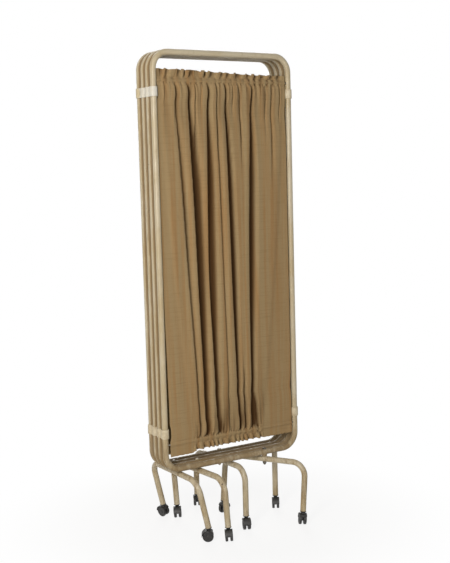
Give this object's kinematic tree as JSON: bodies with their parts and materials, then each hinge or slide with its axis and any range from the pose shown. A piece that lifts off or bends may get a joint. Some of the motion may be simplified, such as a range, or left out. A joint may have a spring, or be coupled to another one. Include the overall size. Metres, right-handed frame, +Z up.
{
  "type": "ward privacy screen",
  "caption": "Folding ward privacy screen: hinged round-tube panels with gathered curtains on bent-tube feet and twin-wheel casters, folded flat.",
  "frame": {"origin": "on the floor, under the middle of the folded screen's footprint", "axes": "+X along the panels from the front panel's hinged upright, +Y from the front panel to the back one, +Z up"},
  "size_m": [0.6062, 0.4872, 1.7684],
  "materials": {
    "frame_paint": "cream gloss paint on steel tube, chipped and yellowed with age",
    "curtain_cloth": "plain-woven tan cotton cloth, gathered",
    "rod_wire": "drawn steel rod, dulled",
    "clip_plastic": "moulded white nylon, slightly yellowed",
    "bolt_steel": "zinc-plated steel, darkened",
    "caster_plastic": "moulded black nylon, dusty",
    "wheel_plastic": "moulded black nylon tread, scuffed"
  },
  "bodies": {
    "panel_1": {"frame_1": "frame_paint", "curtain_1": "curtain_cloth", "rod_top_1": "rod_wire", "rod_bottom_1": "rod_wire", "foot_bolt_1": "bolt_steel", "end_collar_top": "clip_plastic", "end_collar_bottom": "clip_plastic"},
    "foot_1": {"arch_foot_1": "frame_paint", "leg_ferrule_1_front": "caster_plastic", "leg_ferrule_1_rear": "caster_plastic"},
    "panel_2": {"frame_2": "frame_paint", "curtain_2": "curtain_cloth", "rod_top_2": "rod_wire", "rod_bottom_2": "rod_wire", "foot_bolt_2": "bolt_steel"},
    "foot_2": {"arch_foot_2": "frame_paint", "leg_ferrule_2_front": "caster_plastic", "leg_ferrule_2_rear": "caster_plastic"},
    "panel_3": {"frame_3": "frame_paint", "curtain_3": "curtain_cloth", "rod_top_3": "rod_wire", "rod_bottom_3": "rod_wire", "foot_bolt_3": "bolt_steel", "prop_leg": "frame_paint", "leg_ferrule_prop": "caster_plastic"},
    "foot_3": {"arch_foot_3": "frame_paint", "leg_ferrule_3_front": "caster_plastic", "leg_ferrule_3_rear": "caster_plastic"},
    "panel_4": {"frame_4": "frame_paint", "curtain_4": "curtain_cloth", "rod_top_4": "rod_wire", "rod_bottom_4": "rod_wire", "foot_bolt_4": "bolt_steel"},
    "foot_4": {"arch_foot_4": "frame_paint", "leg_ferrule_4_front": "caster_plastic", "leg_ferrule_4_rear": "caster_plastic"},
    "link_12": {"hinge_clip_top_12": "clip_plastic", "hinge_clip_bottom_12": "clip_plastic"},
    "link_23": {"hinge_clip_top_23": "clip_plastic", "hinge_clip_bottom_23": "clip_plastic"},
    "link_34": {"hinge_clip_top_34": "clip_plastic", "hinge_clip_bottom_34": "clip_plastic"},
    "caster_1_front": {"caster_housing_1_front": "caster_plastic"},
    "wheels_1_front": {"wheel_pair_1_front": "wheel_plastic"},
    "caster_1_rear": {"caster_housing_1_rear": "caster_plastic"},
    "wheels_1_rear": {"wheel_pair_1_rear": "wheel_plastic"},
    "caster_2_front": {"caster_housing_2_front": "caster_plastic"},
    "wheels_2_front": {"wheel_pair_2_front": "wheel_plastic"},
    "caster_2_rear": {"caster_housing_2_rear": "caster_plastic"},
    "wheels_2_rear": {"wheel_pair_2_rear": "wheel_plastic"},
    "caster_3_front": {"caster_housing_3_front": "caster_plastic"},
    "wheels_3_front": {"wheel_pair_3_front": "wheel_plastic"},
    "caster_3_rear": {"caster_housing_3_rear": "caster_plastic"},
    "wheels_3_rear": {"wheel_pair_3_rear": "wheel_plastic"},
    "caster_4_front": {"caster_housing_4_front": "caster_plastic"},
    "wheels_4_front": {"wheel_pair_4_front": "wheel_plastic"},
    "caster_4_rear": {"caster_housing_4_rear": "caster_plastic"},
    "wheels_4_rear": {"wheel_pair_4_rear": "wheel_plastic"},
    "caster_prop": {"caster_housing_prop": "caster_plastic"},
    "wheels_prop": {"wheel_pair_prop": "wheel_plastic"}
  },
  "joints": [
    {"name": "link_12_turn", "type": "hinge", "parent": "panel_1", "child": "link_12", "pos_m": [-0.28904, -0.06293, 0], "axis": [0, 0, 1], "range_deg": [0, 90]},
    {"name": "panel_2_turn", "type": "hinge", "parent": "link_12", "child": "panel_2", "pos_m": [-0.28904, -0.02893, 0], "axis": [0, 0, 1], "range_deg": [0, 90]},
    {"name": "link_23_turn", "type": "hinge", "parent": "panel_2", "child": "link_23", "pos_m": [0.28896, -0.02893, 0], "axis": [0, 0, -1], "range_deg": [0, 90]},
    {"name": "panel_3_turn", "type": "hinge", "parent": "link_23", "child": "panel_3", "pos_m": [0.28896, 0.00507, 0], "axis": [0, 0, -1], "range_deg": [0, 90]},
    {"name": "link_34_turn", "type": "hinge", "parent": "panel_3", "child": "link_34", "pos_m": [-0.28904, 0.00507, 0], "axis": [0, 0, 1], "range_deg": [0, 90]},
    {"name": "panel_4_turn", "type": "hinge", "parent": "link_34", "child": "panel_4", "pos_m": [-0.28904, 0.03907, 0], "axis": [0, 0, 1], "range_deg": [0, 90]},
    {"name": "foot_1_swivel", "type": "hinge", "parent": "panel_1", "child": "foot_1", "pos_m": [0.14273, -0.06293, 0.23], "axis": [0, 0, 1], "range_deg": [-26, 12]},
    {"name": "foot_2_swivel", "type": "hinge", "parent": "panel_2", "child": "foot_2", "pos_m": [-0.13818, -0.02893, 0.23], "axis": [0, 0, 1], "range_deg": [-8, 1]},
    {"name": "foot_3_swivel", "type": "hinge", "parent": "panel_3", "child": "foot_3", "pos_m": [-0.22025, 0.00507, 0.23], "axis": [0, 0, 1], "range_deg": [-1, 8]},
    {"name": "foot_4_swivel", "type": "hinge", "parent": "panel_4", "child": "foot_4", "pos_m": [0.00112, 0.03907, 0.23], "axis": [0, 0, 1], "range_deg": [-12, 12]},
    {"name": "caster_1_front_swivel", "type": "hinge", "parent": "foot_1", "child": "caster_1_front", "pos_m": [0.20348, -0.22416, 0.05318], "axis": [0.1355, 0.0782, 0.9877], "continuous": true},
    {"name": "wheels_1_front_spin", "type": "hinge", "parent": "caster_1_front", "child": "wheels_1_front", "pos_m": [0.20303, -0.21953, 0.02197], "axis": [-0.8773, 0.4727, 0.0829], "continuous": true},
    {"name": "caster_1_rear_swivel", "type": "hinge", "parent": "foot_1", "child": "caster_1_rear", "pos_m": [0.0334, 0.07024, 0.05263], "axis": [0.1355, 0.0782, 0.9877], "continuous": true},
    {"name": "wheels_1_rear_spin", "type": "hinge", "parent": "caster_1_rear", "child": "wheels_1_rear", "pos_m": [0.03637, 0.07131, 0.02124], "axis": [-0.4391, 0.8984, -0.0109], "continuous": true},
    {"name": "caster_2_front_swivel", "type": "hinge", "parent": "foot_2", "child": "caster_2_front", "pos_m": [-0.11568, -0.1979, 0.05212], "axis": [-0.0696, -0.0041, 0.9976], "continuous": true},
    {"name": "wheels_2_front_spin", "type": "hinge", "parent": "caster_2_front", "child": "wheels_2_front", "pos_m": [-0.11754, -0.2047, 0.02136], "axis": [0.864, -0.5001, 0.0582], "continuous": true},
    {"name": "caster_2_rear_swivel", "type": "hinge", "parent": "foot_2", "child": "caster_2_rear", "pos_m": [-0.13584, 0.1415, 0.05213], "axis": [-0.0696, -0.0041, 0.9976], "continuous": true},
    {"name": "wheels_2_rear_spin", "type": "hinge", "parent": "caster_2_rear", "child": "wheels_2_rear", "pos_m": [-0.13795, 0.13485, 0.02135], "axis": [0.8461, -0.53, 0.0569], "continuous": true},
    {"name": "caster_3_front_swivel", "type": "hinge", "parent": "foot_3", "child": "caster_3_front", "pos_m": [-0.17956, -0.16493, 0.05372], "axis": [-0.225, 0, 0.9744], "continuous": true},
    {"name": "wheels_3_front_spin", "type": "hinge", "parent": "caster_3_front", "child": "wheels_3_front", "pos_m": [-0.1793, -0.1607, 0.02245], "axis": [-0.5163, -0.848, -0.1192], "continuous": true},
    {"name": "caster_3_rear_swivel", "type": "hinge", "parent": "foot_3", "child": "caster_3_rear", "pos_m": [-0.1794, 0.17507, 0.05303], "axis": [-0.225, 0, 0.9744], "continuous": true},
    {"name": "wheels_3_rear_spin", "type": "hinge", "parent": "caster_3_rear", "child": "wheels_3_rear", "pos_m": [-0.17428, 0.18286, 0.02288], "axis": [-0.9494, -0.225, -0.2192], "continuous": true},
    {"name": "caster_4_front_swivel", "type": "hinge", "parent": "foot_4", "child": "caster_4_front", "pos_m": [0.00705, -0.13083, 0.05102], "axis": [0, 0, 1], "continuous": true},
    {"name": "wheels_4_front_spin", "type": "hinge", "parent": "caster_4_front", "child": "wheels_4_front", "pos_m": [0.0038, -0.13814, 0.0205], "axis": [0.9135, -0.4067, 0], "continuous": true},
    {"name": "caster_4_rear_swivel", "type": "hinge", "parent": "foot_4", "child": "caster_4_rear", "pos_m": [-0.00481, 0.20896, 0.05102], "axis": [0, 0, 1], "continuous": true},
    {"name": "wheels_4_rear_spin", "type": "hinge", "parent": "caster_4_rear", "child": "wheels_4_rear", "pos_m": [-0.00106, 0.21603, 0.0205], "axis": [-0.8829, 0.4695, 0], "continuous": true},
    {"name": "caster_prop_swivel", "type": "hinge", "parent": "panel_3", "child": "caster_prop", "pos_m": [0.23696, 0.00507, 0.05102], "axis": [0, 0, 1], "continuous": true},
    {"name": "wheels_prop_spin", "type": "hinge", "parent": "caster_prop", "child": "wheels_prop", "pos_m": [0.23249, -0.00157, 0.0205], "axis": [0.829, -0.5592, 0], "continuous": true}
  ]
}
